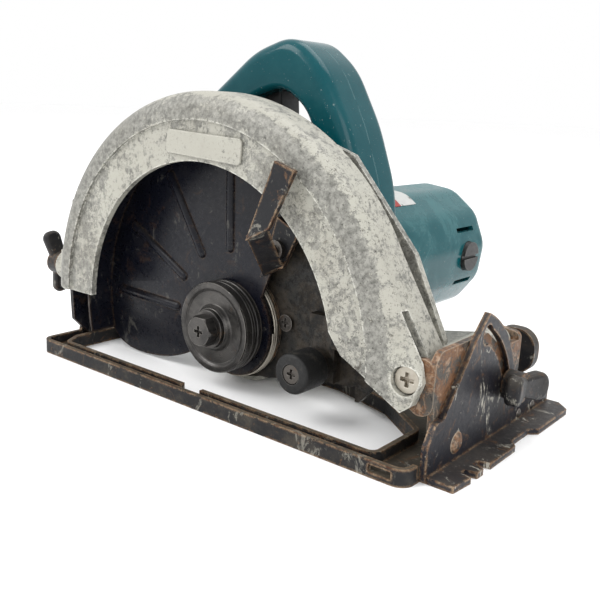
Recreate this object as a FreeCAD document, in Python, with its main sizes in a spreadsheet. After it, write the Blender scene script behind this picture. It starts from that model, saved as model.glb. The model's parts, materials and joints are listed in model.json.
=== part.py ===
import FreeCAD, Part
import math
import os
import re
import Sketcher

Vector = FreeCAD.Vector

# A circular saw for a 185 mm blade, right-blade layout, shown with no blade fitted.
# Working frame: X forward (direction of cut), Y from the blade side to the motor side, Z up.
# X = 0 is the blade spindle's axis, Z = 0 the sole's underside, Y = 0 the blade case's outer face.
# The cells middle_x and middle_y move every piece so that the origin is the middle of the whole saw's box.

SIZES = {
    "middle_x": 0.0, "middle_y": 0.0,
    # sole
    "sole_sheet": 2.2, "sole_rim": 7.0, "sole_rear": 103.0, "sole_front": 119.5,
    "sole_near": 10.2, "sole_far": 112.0, "sole_corner": 6.0, "slot_far": 54.0,
    # tilt pivot and quadrant, about the X axis
    "tilt_y": 20.8, "tilt_z": 9.5, "tilt_pin": 3.0, "front_sheet": 2.6,
    "quadrant_outer": 51.0, "quadrant_slot": 43.0, "quadrant_slot_half": 3.1, "bevel_bolt_angle": 18.0,
    # depth pivot, about the Y axis
    "depth_x": 109.5, "depth_z": 35.9, "depth_pin": 3.0, "far_ear": 76.0,
    "strap_inner": 207.9, "strap_sheet": 2.4, "strap_near": 6.5, "strap_far": 18.0,
    # blade case
    "arbor_z": 30.0, "case_outer": 104.9, "case_step": 93.0, "case_opening": 75.6,
    "case_wall": 3.0, "case_depth": 34.0, "case_round": 8.0, "case_recess": 1.5, "case_slope": 14.0,
    # spindle
    "spindle_radius": 8.5, "flange_radius": 21.3, "bearing_outer": 17.5, "bearing_width": 10.0,
    "hub_radius": 19.0,
    # gears
    "gear_module": 1.25, "gear_teeth": 42, "pinion_teeth": 11, "gear_width": 8.0, "gear_near": 42.0,
    "motor_angle": 50.0,
    # motor
    "motor_radius": 34.5, "motor_near": 60.0, "motor_end": 174.0, "shaft_radius": 4.0,
    # guard
    "guard_radius": 89.0, "guard_sheet": 1.2, "guard_near": 23.6, "guard_rim_near": 9.0,
    # handle
    "handle_near": 44.0, "handle_far": 76.0, "handle_wall": 3.5,
    # clearances
    "running_gap": 0.05, "free_gap": 0.3,
}

ALONG = {
    "x": FreeCAD.Rotation(Vector(0, 1, 0), 90),
    "y": FreeCAD.Rotation(Vector(1, 0, 0), -90),
    "z": FreeCAD.Rotation(),
}

RIVET_ROW = (78, 92)
RIVET_Z = 4.8
FENCE_BAR = (103.4, 113.2)
HANDLE_SCREWS = ((41, 106), (-26, 131), (-55, 109), (-89, 62))
RETAINER_CORNERS = (10, 120, 222)
NAME_PLATE = [(-18.6, 108.3), (25.9, 105.8), (26.7, 116.6), (-17.3, 118.5)]

doc = FreeCAD.newDocument("circular_saw")
sheet = doc.addObject("Spreadsheet::Sheet", "sizes")
for row, (alias, number) in enumerate(SIZES.items(), 1):
    sheet.set(f"A{row}", alias)
    sheet.set(f"B{row}", str(number))
    sheet.setAlias(f"B{row}", alias)
doc.recompute()

pieces = {}


def size(alias):
    """The number in the sheet's cell."""
    return sheet.get(alias)


def formula(text):
    """Point the sheet aliases in a formula at the sheet."""
    return re.sub(r"[a-z_]+", lambda word: "sizes." + word[0] if word[0] in SIZES else word[0], text)


# ---------------------------------------------------------------- shared ways of making a piece

def feature(label, shape):
    """A piece whose shape is made by Part's own functions from the sheet's sizes."""
    piece = doc.addObject("Part::Feature", label)
    piece.Label = label
    piece.Shape = shape
    pieces[label] = piece
    return piece


def plane_of(body, role):
    return next(item for item in body.Origin.OriginFeatures if item.Role == role)


def turned(label, profile, x="0", y="0", z="0", along="y"):
    """A lathe-turned piece: a closed profile of (radius, distance along the axis) formulas."""
    body = doc.addObject("PartDesign::Body", label)
    body.Label = label
    sketch = body.newObject("Sketcher::SketchObject", label + "_profile")
    sketch.AttachmentSupport = [(plane_of(body, "XZ_Plane"), "")]
    sketch.MapMode = "FlatFace"
    corners = len(profile)
    for index in range(corners):
        start = Vector(10 + index, 10 + index * index % 7, 0)
        end = Vector(11 + index, 10 + (index + 1) ** 2 % 7, 0)
        sketch.addGeometry(Part.LineSegment(start, end))
    for index in range(corners):
        sketch.addConstraint(Sketcher.Constraint("Coincident", index, 2, (index + 1) % corners, 1))
    for index, (radius, distance) in enumerate(profile):
        for kind, text in (("DistanceX", radius), ("DistanceY", distance)):
            number = sketch.addConstraint(Sketcher.Constraint(kind, -1, 1, index, 1, 1.0))
            sketch.setExpression(f"Constraints[{number}]", formula(text))
    revolution = body.newObject("PartDesign::Revolution", label + "_turning")
    revolution.Profile = sketch
    revolution.ReferenceAxis = (sketch, ["V_Axis"])
    revolution.Angle = 360
    body.Placement.Rotation = ALONG[along]
    body.setExpression("Placement.Base.x", formula(f"{x} - middle_x"))
    body.setExpression("Placement.Base.y", formula(f"{y} - middle_y"))
    body.setExpression("Placement.Base.z", formula(z))
    pieces[label] = body
    return body


def sleeve(label, outer, inner, near, far, **place):
    """A plain ring from near to far along its axis."""
    return turned(label, [(inner, near), (outer, near), (outer, far), (inner, far)], **place)


def rounded(points, radius):
    """A closed wire in the plane (first, second), with its corners rounded by tangent arcs.

    A corner is (first, second) or (first, second, its own radius)."""
    corners = [Vector(point[0], point[1], 0) for point in points]
    radii = [point[2] if len(point) > 2 else radius for point in points]
    edges = []
    starts = []
    ends = []
    for index, corner in enumerate(corners):
        before = (corners[index - 1] - corner).normalize()
        after = (corners[(index + 1) % len(corners)] - corner).normalize()
        half = before.getAngle(after) / 2
        reach = radii[index] / math.tan(half)
        if radii[index] == 0:
            starts.append(corner)
            ends.append(corner)
            edges.append(None)
            continue
        centre = corner + (before + after).normalize() * (radii[index] / math.sin(half))
        first = corner + before * reach
        last = corner + after * reach
        middle = centre + (corner - centre).normalize() * radii[index]
        starts.append(first)
        ends.append(last)
        edges.append(Part.Arc(first, middle, last).toShape())
    wire = []
    for index, arc in enumerate(edges):
        if arc:
            wire.append(arc)
        gap = starts[(index + 1) % len(starts)] - ends[index]
        if gap.Length > 1e-6:
            wire.append(Part.LineSegment(ends[index], starts[(index + 1) % len(starts)]).toShape())
    return Part.Wire(wire)


def slab(wire, plane, near, far):
    """A wire drawn in a plane, filled and extruded from near to far along the plane's normal.

    Plane "xy" goes up Z, "xz" along Y and "yz" along X."""
    solid = Part.Face(wire).extrude(Vector(0, 0, far - near))
    if plane == "xz":
        solid.translate(Vector(0, 0, -far))
        solid.rotate(Vector(), Vector(1, 0, 0), 90)
    else:
        solid.translate(Vector(0, 0, near))
    if plane == "yz":
        solid.rotate(Vector(), Vector(1, 1, 1), 120)
    return solid


def polygon(points):
    return Part.makePolygon([Vector(x, y, 0) for x, y in points + points[:1]])


def rod(radius, x, y, z, length, along="y"):
    """A solid cylinder that starts at x, y, z."""
    direction = {"x": Vector(1, 0, 0), "y": Vector(0, 1, 0), "z": Vector(0, 0, 1)}[along]
    return Part.makeCylinder(radius, length, Vector(x, y, z), direction)


def ring(outer, inner, x, y, z, length, along="y"):
    return rod(outer, x, y, z, length, along).cut(rod(inner, x, y, z, length, along))


def block(x_low, x_high, y_low, y_high, z_low, z_high):
    corner = Vector(x_low, y_low, z_low)
    return Part.makeBox(x_high - x_low, y_high - y_low, z_high - z_low, corner)


def cross_recess(shape, x, y, z, span, depth):
    """Cut a Phillips recess whose mouth is at x, y, z and which goes in along Y."""
    long, short = span / 2, span * 0.14
    for wide, tall in ((long, short), (short, long)):
        shape = shape.cut(block(x - wide, x + wide, y - 0.1, y + depth, z - tall, z + tall))
    return shape


def polar(radius, degrees, x=0.0, z=None):
    """A point of the XZ plane at an angle from +X, about the spindle unless told otherwise."""
    height = size("arbor_z") if z is None else z
    angle = math.radians(degrees)
    return x + radius * math.cos(angle), height + radius * math.sin(angle)


def arc_band(inner, outer, start, end, centre=(0.0, 0.0)):
    """A flat wire: the part of a ring between two angles, in degrees."""
    def at(radius, degrees):
        angle = math.radians(degrees)
        return Vector(centre[0] + radius * math.cos(angle), centre[1] + radius * math.sin(angle), 0)
    middle = (start + end) / 2
    return Part.Wire([
        Part.Arc(at(outer, start), at(outer, middle), at(outer, end)).toShape(),
        Part.LineSegment(at(outer, end), at(inner, end)).toShape(),
        Part.Arc(at(inner, end), at(inner, middle), at(inner, start)).toShape(),
        Part.LineSegment(at(inner, start), at(outer, start)).toShape(),
    ])


def motor_axis():
    distance = size("gear_module") * (size("gear_teeth") + size("pinion_teeth")) / 2
    return polar(distance, size("motor_angle"))


# ---------------------------------------------------------------- sole and front plate

def slot_outline():
    """The blade opening: straight near side, slanted far front corner."""
    far = size("slot_far")
    return [(-88, -3), (101, -3), (101, 26), (75, 45), (44, far), (-62, far), (-93, 36), (-93, 6)]


def sole():
    sheet_metal = size("sole_sheet")
    rear, front = -size("sole_rear"), size("sole_front")
    near, far = -size("sole_near"), size("sole_far")
    corner = size("sole_corner")
    outer = rounded([(rear, near), (front, near), (front, far), (rear, far)], corner)
    inset = rounded([(rear + sheet_metal, near + sheet_metal), (front - sheet_metal, near + sheet_metal),
                     (front - sheet_metal, far - sheet_metal), (rear + sheet_metal, far - sheet_metal)],
                    corner - sheet_metal)
    opening = rounded(slot_outline(), 3)
    lip = opening.makeOffset2D(sheet_metal)
    rim = size("sole_rim")
    tray = slab(outer, "xy", 0, rim).cut(slab(opening, "xy", -1, rim + 1))
    channel = slab(inset, "xy", sheet_metal, rim + 1).cut(slab(lip, "xy", 0, rim + 2))
    tray = tray.cut(channel)
    tilt_y, tilt_z = size("tilt_y"), size("tilt_z")
    ear = rounded([(tilt_y - 9, 0.5), (tilt_y + 12, 0.5),
                   (tilt_y + 8, tilt_z + 6.5), (tilt_y - 6, tilt_z + 6.5)], 3)
    tray = tray.fuse(slab(ear, "yz", rear, rear + sheet_metal))
    tray = tray.cut(rod(size("tilt_pin") + size("running_gap"), rear - 1, tilt_y, tilt_z, 6, "x"))
    for y in RIVET_ROW:
        tray = tray.cut(rod(1.6, front - 4, y, RIVET_Z, 5, "x"))
    for side in (near, far):
        tray = tray.cut(block(FENCE_BAR[0], FENCE_BAR[1], side - 3, side + 3, sheet_metal, 5.2))
    tray = tray.cut(block(front - 4, front + 1, -2, tilt_y + 52, sheet_metal, rim + 1))
    tray = tray.cut(block(-1.7, 10, -6, -2.9, sheet_metal, rim + 1))
    feature("sole_plate", tray.removeSplitter())


def sight_outline():
    """The notched edge that shows the cutting line at 0 and 45 degrees, in X and Y."""
    fold = size("sole_front")
    reach = 134.0
    return [
        (fold, 0), (reach - 1, 0), (reach, 11.6), (129.4, 12.6), (129.4, 15.7), (reach, 16.7), (reach, 21.4),
        (129.4, 22.6), (129.4, 26.4), (reach, 27.6), (reach, 49.3), (130.7, 53.7), (130.7, 69.5),
        (reach, 72.9), (reach, 104), (128, 110), (fold, 110),
    ]


def front_plate():
    fold = size("sole_front") + 0.1
    metal = size("front_sheet")
    tilt_y, tilt_z = size("tilt_y"), size("tilt_z")
    outer = size("quadrant_outer")
    points = [(fold, 0)] + sight_outline()[1:-1] + [(fold, 110)]
    foot = slab(polygon(points), "xy", 0, metal)
    upright = slab(rounded([(-1, 0), (110, 0), (110, 11), (72, 13), (70, 22), (4, 22), (-1, 14)], 2.5),
                   "yz", fold, fold + metal)
    start = (tilt_y, tilt_z)
    low = size("bevel_bolt_angle")
    high = low + 46
    fan = slab(arc_band(4, outer, low - 4, high + 4.5, start), "yz", fold, fold + metal)
    edge = polygon([(5, 12), (7, 19), (tilt_y + 9, tilt_z + 38), (tilt_y + 18.5, tilt_z + 47),
                    (40, 40), (36, 12)])
    gusset = slab(edge, "yz", fold, fold + metal)
    shape = foot.fuse([upright, fan, gusset])
    half = size("quadrant_slot_half")
    middle = size("quadrant_slot")
    slot = slab(arc_band(middle - half, middle + half, low, high, start), "yz", fold - 1, fold + metal + 1)
    for degrees, radius in ((low, half), (high, half + 1)):
        angle = math.radians(degrees)
        slot = slot.fuse(rod(radius, fold - 1, tilt_y + middle * math.cos(angle),
                             tilt_z + middle * math.sin(angle), metal + 2, "x"))
    shape = shape.cut(slot)
    shape = shape.cut(rod(size("tilt_pin") + size("running_gap"), fold - 1, tilt_y, tilt_z, metal + 2, "x"))
    for y in RIVET_ROW:
        shape = shape.cut(rod(1.6, fold - 1, y, RIVET_Z, metal + 2, "x"))
    feature("front_plate", shape.removeSplitter())


def riveted(label, places, radius, head, near, far, button):
    """Rivets along X: a shank between two domed heads at each (y, z)."""
    solids = []
    for y, z in places:
        shank = rod(radius, near, y, z, far - near, "x")
        for face, way in ((near, -1), (far, 1)):
            dome = Part.makeSphere(head * 1.25, Vector(face - way * (head * 1.25 - button), y, z))
            keep = rod(head, min(face, face + way * button), y, z, button, "x")
            shank = shank.fuse(dome.common(keep))
        solids.append(shank)
    feature(label, Part.makeCompound(solids) if len(solids) > 1 else solids[0])


def sole_rivets():
    front = size("sole_front")
    metal = size("sole_sheet")
    far = front + 0.1 + size("front_sheet")
    riveted("front_rivets", [(y, RIVET_Z) for y in RIVET_ROW], 1.55, 2.05, front - metal, far, 1.0)


def fence_screw():
    """Thumb screw that clamps a rip fence in the sole's front corner: a flat round head on a stem."""
    x, y = 106.5, 104.0
    head = rounded([(-10.5, 14.2), (10.5, 14.2), (10.5, 35.5), (-10.5, 35.5)], 9)
    grip = slab(head, "xz", -2.8, 2.8)
    grip.translate(Vector(x, y, 0))
    stem = rod(4.8, x, y, 8.5, 6, "z").fuse(rod(2.95, x, y, 2.3, 8, "z"))
    feature("fence_screw", grip.fuse(stem).removeSplitter())
    base = size("sole_sheet") + 0.05
    nut = block(x - 8, x + 8, y - 5.6, y + 5.6, base, 8.2).cut(rod(3.0, x, y, 0, 12, "z"))
    nut = nut.cut(block(FENCE_BAR[0], FENCE_BAR[1], y - 9, y + 9, base - 1, 5.2))
    feature("fence_holder", nut)


# ---------------------------------------------------------------- tilting frame

def tilt_frame():
    metal = size("front_sheet")
    front = size("sole_front")
    back = front - metal
    tilt_y, tilt_z = size("tilt_y"), size("tilt_z")
    pivot_x, pivot_z = size("depth_x"), size("depth_z")
    start = (tilt_y, tilt_z)
    lower = rounded([(tilt_y - 14, tilt_z + 6), (tilt_y - 3, tilt_z - 3, 1.5), (tilt_y + 10, tilt_z - 3),
                     (tilt_y + 49, tilt_z + 4), (tilt_y + 49, tilt_z + 22), (tilt_y + 24, tilt_z + 38),
                     (tilt_y - 12, tilt_z + 38), (tilt_y - 15.8, tilt_z + 34)], 4)
    plate = slab(lower, "yz", back, front).fuse(rod(6.8, back, *start, metal, "x"))
    far = size("far_ear")
    rib = rounded([(50, 22), (far + metal, 22), (far + metal, 38), (50, 38)], 4)
    plate = plate.fuse(slab(rib, "yz", back, front))
    ear = rounded([(front, 16.5), (front, 46.5), (pivot_x + 2, pivot_z + 8), (pivot_x - 6.6, pivot_z + 4),
                   (pivot_x - 6.6, pivot_z - 6)], 5.5)
    low_ear = rounded([(front, 20), (front, 41), (pivot_x - 3, pivot_z + 6.6), (pivot_x - 6.6, pivot_z + 3),
                       (pivot_x - 6.6, pivot_z - 6)], 3)
    near_ear = slab(ear, "xz", 5, 5 + metal)
    far_ear = slab(low_ear, "xz", far, far + metal)
    trim = block(front, front + 20, -20, 140, -5, 80)
    shape = plate.fuse([near_ear, far_ear]).cut(trim)
    bolt = math.radians(size("bevel_bolt_angle"))
    middle = size("quadrant_slot")
    bolt_y, bolt_z = tilt_y + middle * math.cos(bolt), tilt_z + middle * math.sin(bolt)
    shape = shape.cut(rod(2.95, back - 1, bolt_y, bolt_z, 8, "x"))
    shape = shape.cut(rod(size("tilt_pin") + 0.02, back - 1, tilt_y, tilt_z, 8, "x"))
    shape = shape.cut(rod(size("depth_pin") + 0.02, pivot_x, 0, pivot_z, 120))
    feature("pivot_bracket", shape.removeSplitter())
    riveted("tilt_rivet", [start], size("tilt_pin"), 5.4, back, front + 0.1 + metal, 1.7)

    inner, outer = size("strap_inner"), size("strap_inner") + size("strap_sheet")
    near, far = size("strap_near"), size("strap_far")
    centre = (pivot_x, pivot_z)
    strap = slab(arc_band(inner, outer, 168.2, 188.6, centre), "xz", near, tilt_y + 8)
    side = rounded([(near, 100), (near, 15), (tilt_y - 4.6, tilt_z - 4.9), (tilt_y + 4.6, tilt_z - 4.9),
                    (tilt_y + 7.5, tilt_z), (tilt_y + 6, tilt_z + 7), (far, tilt_z + 14), (far, 100)], 1.5)
    strap = strap.common(slab(side, "yz", -110, -80))
    middle = (near + far) / 2
    slit = slab(arc_band(inner - 1, outer + 1, 169.4, 179.3, centre), "xz", middle - 3.1, middle + 3.1)
    strap = strap.cut(slit)
    strap = strap.cut(rod(size("tilt_pin") + 0.02, -105, tilt_y, tilt_z, 12, "x"))
    strap = strap.cut(rod(5.7, -96.55, tilt_y, tilt_z, 3, "x"))
    feature("depth_guide", strap.removeSplitter())
    rear = -size("sole_rear")
    riveted("rear_tilt_rivet", [start], size("tilt_pin"), 5.4, rear, rear + 6.5, 1.2)


def depth_pivot():
    """The cross-head pivot screw and its nut."""
    x, z = size("depth_x"), size("depth_z")
    pin = size("depth_pin")
    near = size("far_ear") + size("front_sheet") + 0.1
    far = near + 3.9
    screw = rod(pin, x, 4, z, far - 4).fuse(rod(5.2, x, 2.2, z, 2.75))
    screw = cross_recess(screw, x, 2.2, z, 5.6, 2.0)
    feature("pivot_screw", screw)
    nut = slab(polygon([(x + 5.5 * math.cos(math.radians(a)), z + 5.5 * math.sin(math.radians(a)))
                        for a in range(0, 360, 60)]), "xz", near, far)
    feature("pivot_nut", nut.cut(rod(pin, x, near - 1, z, 6)))


def wing_bolt(label, centre, way, lobes, thread_length):
    """A wing bolt along X: hub, threaded shank and two cast lobes, each (angle, length, width)."""
    x, y, z = centre
    hub = rod(6.2, min(x, x + way * 7.6), y, z, 7.6, "x")
    shank = rod(2.9, min(x, x - way * thread_length), y, z, thread_length, "x")
    shape = hub.fuse(shank)
    for degrees, length, width in lobes:
        thick = width * 0.46
        outline = [(-1, -4, 2.6), (length, -width / 2), (length, width / 2), (-1, 4, 2.6)]
        lobe = slab(rounded(outline, width * 0.4), "yz", 0, thick)
        lobe = lobe.makeFillet(2.0, [edge for edge in lobe.Edges if edge.BoundBox.XLength < 0.01])
        lobe.rotate(Vector(0, 0, 0), Vector(0, 0, 1), -way * 14)
        lobe.rotate(Vector(0, 0, 0), Vector(1, 0, 0), degrees)
        lobe.translate(Vector(x + (way - 1) / 2 * thick + way * 2.0, y, z))
        shape = shape.fuse(lobe)
    feature(label, shape.removeSplitter())


def clamps():
    bolt = math.radians(size("bevel_bolt_angle"))
    middle = size("quadrant_slot")
    face = size("sole_front") + 0.1 + size("front_sheet") + 0.2
    place = (face, size("tilt_y") + middle * math.cos(bolt), size("tilt_z") + middle * math.sin(bolt))
    wing_bolt("bevel_wing_bolt", place, 1, [(-8, 18, 14), (172, 18, 14)], 6.5)
    rear = size("depth_x") - size("strap_inner") - size("strap_sheet")
    place = (rear - 12.2, (size("strap_near") + size("strap_far")) / 2, 42.0)
    wing_bolt("depth_wing_bolt", place, -1, [(101, 17, 10.5), (281, 17, 10.5)], 17.8)


# ---------------------------------------------------------------- blade case

def case_boundary(inset):
    """The case's side outline in X and Z: an arc over the top and a straight nose to the pivot."""
    radius = size("case_outer") - inset
    start = Vector(*polar(radius, 178.5), 0)
    top = Vector(*polar(radius, 100), 0)
    end = Vector(*polar(radius, 28), 0)
    x, z = size("depth_x"), size("depth_z")
    nose = [Vector(x + 4.5 - inset, z + 9, 0), Vector(x + 6.6 - inset, z, 0),
            Vector(x + 3.5 - inset, z - 9, 0), Vector(x - 1, z - 12.5, 0), Vector(88, 28, 0)]
    edges = [Part.Arc(start, top, end).toShape()]
    points = [end] + nose + [Vector(70, 8, 0), Vector(-30, 4, 0), Vector(-60, start.y, 0), start]
    for first, last in zip(points, points[1:]):
        edges.append(Part.LineSegment(first, last).toShape())
    return Part.Wire(edges)


def back_wall():
    """The wall between the blade space and the gears, cut back low down to clear the sole."""
    points = [(-99, 36), (-40, 36), (-27, 16), (-14, 6), (12, 4), (40, 12), (66, 14), (84, 26), (106, 27)]
    low = polygon(points + [(108, 44), (92, 76), (60, 112), (0, 131.5), (-60, 112), (-92, 76)])
    depth = size("case_depth")
    wall = slab(low, "xz", depth - size("case_wall"), depth)
    return wall.common(slab(case_boundary(1), "xz", 0, depth))


def case_rear_rim(solid):
    """The far edges of the case's arc and of its straight nose, where the rim slopes in."""
    far = solid.BoundBox.YMax
    return [edge for edge in solid.Edges
            if edge.BoundBox.YMin > far - 0.01 and edge.BoundBox.ZMax > size("arbor_z") + 20
            and edge.Length > 20]


def blade_case():
    depth = size("case_depth")
    wall = size("case_wall")
    arbor = size("arbor_z")
    body = slab(case_boundary(0), "xz", 0, depth)
    rim = [edge for edge in body.Edges
           if edge.BoundBox.YMax < 0.01 and edge.BoundBox.ZMax > arbor + 20]
    body = body.makeFillet(size("case_round"), rim)
    body = body.makeChamfer(size("case_slope"), case_rear_rim(body))
    recess = rod(size("case_step"), 0, -1, arbor, 1 + size("case_recess"))
    body = body.cut(recess)
    inner = slab(case_boundary(wall), "xz", wall + size("case_recess"), depth - wall)
    inner = inner.makeChamfer(size("case_slope") - 1, case_rear_rim(inner))
    below = block(-120, 68, -1, depth + 1, -20, 33)
    opening = rod(size("case_opening"), 0, -1, arbor, wall + size("case_recess") + 2)
    foot = polygon([(66, 0), (66, 58), (74.6, 45.3), (80, 38.4), (110.5, 22.8), (125, 0)])
    open_front = slab(foot, "xz", -1, wall + size("case_recess") + 2)
    open_under = slab(polygon([(60, -5), (60, 26), (88, 31.5), (103, 30), (109, 24), (125, -5)]), "xz",
                      wall + size("case_recess"), depth - wall)
    body = body.cut(inner).cut(below).cut(opening).cut(open_front).cut(open_under)
    body = body.fuse(back_wall())
    x, z = size("depth_x"), size("depth_z")
    boss_far = size("far_ear") - 0.3
    boss = rod(6.6, x, 7.9, z, boss_far - 7.9)
    web_far = boss_far - 3
    web_outline = polygon([(x - 1, 20), (x - 1, web_far), (x - 5, web_far), (62, 36), (62, 20)])
    web = slab(web_outline, "xy", z - 3, z + 3)
    body = body.fuse([boss, web])
    cushion_seat = rod(7.2, 52.5, 21, 22.5, depth - 21).fuse(block(45.5, 59.5, 26, depth, 15, 44))
    body = body.fuse(cushion_seat)
    strap_middle = (size("strap_near") + size("strap_far")) / 2
    body = body.fuse(block(-103.5, -92, strap_middle - 8.4, strap_middle + 8.4, 33.5, 52))
    heel = block(-106, -95.9, -1, depth + 1, 32, 42).cut(rod(9, -95.9, -2, 42, depth + 4))
    body = body.cut(heel).fuse(rod(8.0, -110, strap_middle, 42, 14, "x"))
    body = body.fuse(ring(20.5, size("bearing_outer"), 0, depth - 1, arbor, 8.4))
    inner_strap, outer_strap = size("strap_inner") - 0.5, size("strap_inner") + size("strap_sheet") + 0.5
    channel = arc_band(inner_strap, outer_strap, 158, 190, (x, z))
    body = body.cut(slab(channel, "xz", size("strap_near") - 0.6, size("strap_far") + 0.6))
    body = body.cut(block(99, 125, 4.65, 7.95, 14, 60))
    body = body.cut(rod(5.6, x, -1, z, 6.5))
    body = body.cut(rod(2.95, -125, strap_middle, 42, 40, "x"))
    body = body.cut(rod(size("depth_pin") + size("running_gap"), x, 0, z, 120))
    body = body.cut(rod(size("bearing_outer") + 0.01, 0, 20, arbor, 40))
    body = body.cut(rod(2.1, 52.5, 10, 22.5, 14))
    for degrees in RETAINER_CORNERS:
        screw_x, screw_z = polar(29.3, degrees)
        body = body.cut(rod(2.1, screw_x, 30, screw_z, 5))
    feature("blade_case", body.removeSplitter())


def name_plate():
    """Blank raised plate on the case's ring."""
    plate = slab(rounded(NAME_PLATE, 2), "xz", 0.2, size("case_recess"))
    feature("name_plate", plate)


def guard_cushion():
    """Rubber stop for the guard, with the screw that holds it."""
    x, z = 52.5, 22.5
    cushion = rod(8.75, x, 5.5, z, 15.3)
    cushion = cushion.makeFillet(1.6, [edge for edge in cushion.Edges if edge.BoundBox.YLength < 0.01])
    notch = block(x - 12, x - 5.8, 4, 12, z - 12, z - 4.5)
    cushion = cushion.cut(rod(2.0, x, 0, z, 30)).cut(rod(4.4, x, 5, z, 3.1)).cut(notch)
    feature("rubber_bumper", cushion)
    screw = rod(2.0, x, 7, z, 15).fuse(rod(4.2, x, 5.8, z, 2.25))
    feature("bumper_screw", cross_recess(screw, x, 5.8, z, 4.2, 1.5))


def bearing_retainer():
    """Rounded three-cornered plate with the tube on which the guard turns."""
    arbor = size("arbor_z")
    corners = [polar(34.5, degrees) for degrees in RETAINER_CORNERS]
    plate = slab(rounded([(x, z) for x, z in corners], 9), "xz", 29.5, 30.95)
    plate = plate.fuse(rod(25.5, 0, 29.5, arbor, 1.45))
    tube = rod(size("hub_radius"), 0, 22.3, arbor, 7.2)
    shape = plate.fuse(tube).cut(rod(13.2, 0, 20, arbor, 20))
    shape = shape.cut(ring(30, size("hub_radius") - 1.0, 0, 22.85, arbor, 0.7))
    for degrees in RETAINER_CORNERS:
        x, z = polar(29.3, degrees)
        countersink = Part.makeCone(4.2, 2.1, 1.5, Vector(x, 29.45, z), Vector(0, 1, 0))
        shape = shape.cut(rod(2.1, x, 25, z, 10)).cut(countersink)
    feature("bearing_retainer", shape)
    screws = []
    for degrees in RETAINER_CORNERS:
        x, z = polar(29.3, degrees)
        head = Part.makeCone(3.95, 2.05, 1.45, Vector(x, 29.5, z), Vector(0, 1, 0))
        screws.append(cross_recess(head.fuse(rod(2.05, x, 30, z, 3.4)), x, 29.5, z, 4.4, 1.1))
    feature("retainer_screws", Part.makeCompound(screws))


# ---------------------------------------------------------------- spindle, gears and bearings

def spindle_parts():
    place = {"z": "arbor_z"}
    turned("spindle", [
        ("4.05", "16.3"), ("7.9", "16.3"), ("7.9", "22.2"), ("12", "22.2"), ("12", "30.6"),
        ("spindle_radius", "30.6"), ("spindle_radius", "41.5"), ("7.5", "41.5"),
        ("7.5", "gear_near + gear_width + 0.6"), ("5.5", "gear_near + gear_width + 0.6"),
        ("5.5", "58.7"), ("0", "58.7"), ("0", "32"), ("4.05", "32"),
    ], **place)
    turned("inner_flange", [
        ("7.95", "16.4"), ("flange_radius", "16.4"), ("flange_radius", "18.2"),
        ("flange_radius - 1.6", "18.6"),
        ("flange_radius - 1.6", "19.6"), ("flange_radius", "20"), ("flange_radius", "22"), ("7.95", "22"),
    ], **place)
    turned("outer_flange", [
        ("4.1", "10.6"), ("9.5", "10.6"), ("11", "13.4"), ("17", "13.4"), ("18.4", "12.2"),
        ("flange_radius - 0.6", "12.2"), ("flange_radius", "12.8"), ("flange_radius", "16.2"),
        ("4.1", "16.2"),
    ], **place)
    sleeve("arbor_washer", "9", "4.15", "8.8", "10.5", **place)
    arbor = size("arbor_z")
    hexagon = polygon([(7.5 * math.cos(math.radians(a)), arbor + 7.5 * math.sin(math.radians(a)))
                       for a in range(0, 360, 60)])
    head = slab(hexagon, "xz", 3.3, 8.7)
    head = head.common(Part.makeCone(6.6, 12.6, 6, Vector(0, 3.3, arbor), Vector(0, 1, 0)))
    bolt = head.fuse(rod(4.0, 0, 8, arbor, 23))
    feature("arbor_bolt", cross_recess(bolt, 0, 3.3, arbor, 5.2, 1.6))
    bearing("spindle_bearing", 0, arbor, "bearing_outer", "spindle_radius", 31.05, size("bearing_width"))
    sleeve("spindle_needle_bearing", "9", "5.5 + running_gap", "52", "59", **place)


def bearing(label, x, z, outer, inner, near, width):
    """A sealed ball bearing, as one piece: two races and the shield between them."""
    outside, inside = size(outer), size(inner)
    pitch = (outside + inside) / 2
    land = (outside - inside) * 0.27
    races = ring(outside, outside - land, x, near, z, width)
    races = races.fuse(ring(inside + land, inside + size("running_gap") / 2, x, near, z, width))
    shield = ring(outside - land * 0.5, inside + land * 0.5, x, near + width * 0.3, z, width * 0.4)
    feature(label, races.fuse(shield))


def gear_shape(teeth, near, width, bore, addendum, turn, x, z):
    """A spur gear with involute flanks, thinned a little for backlash."""
    module = size("gear_module")
    pitch = module * teeth / 2
    base = pitch * math.cos(math.radians(20))
    tip = pitch + addendum * module
    root = pitch - 1.15 * module
    half = math.pi / (2 * teeth) * 0.86
    lean = math.tan(math.radians(20)) - math.radians(20)
    steps = 4

    def flank(radius):
        if radius < base:
            return half + lean
        ratio = math.sqrt((radius / base) ** 2 - 1)
        return half + lean - (ratio - math.atan(ratio))

    points = []
    for tooth in range(teeth):
        middle = 2 * math.pi * tooth / teeth + turn
        radii = [max(root, base * 0.995)]
        radii += [base + (tip - base) * step / steps for step in range(1, steps + 1)]
        rising = [(root, -flank(base))] + [(radius, -flank(radius)) for radius in radii]
        falling = [(radius, -angle) for radius, angle in reversed(rising)]
        for radius, angle in rising + falling:
            points.append((x + radius * math.cos(middle + angle), z + radius * math.sin(middle + angle)))
    gear = slab(polygon(points), "xz", near, near + width)
    return gear.cut(rod(bore, x, near - 1, z, width + 2)) if bore else gear


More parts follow.
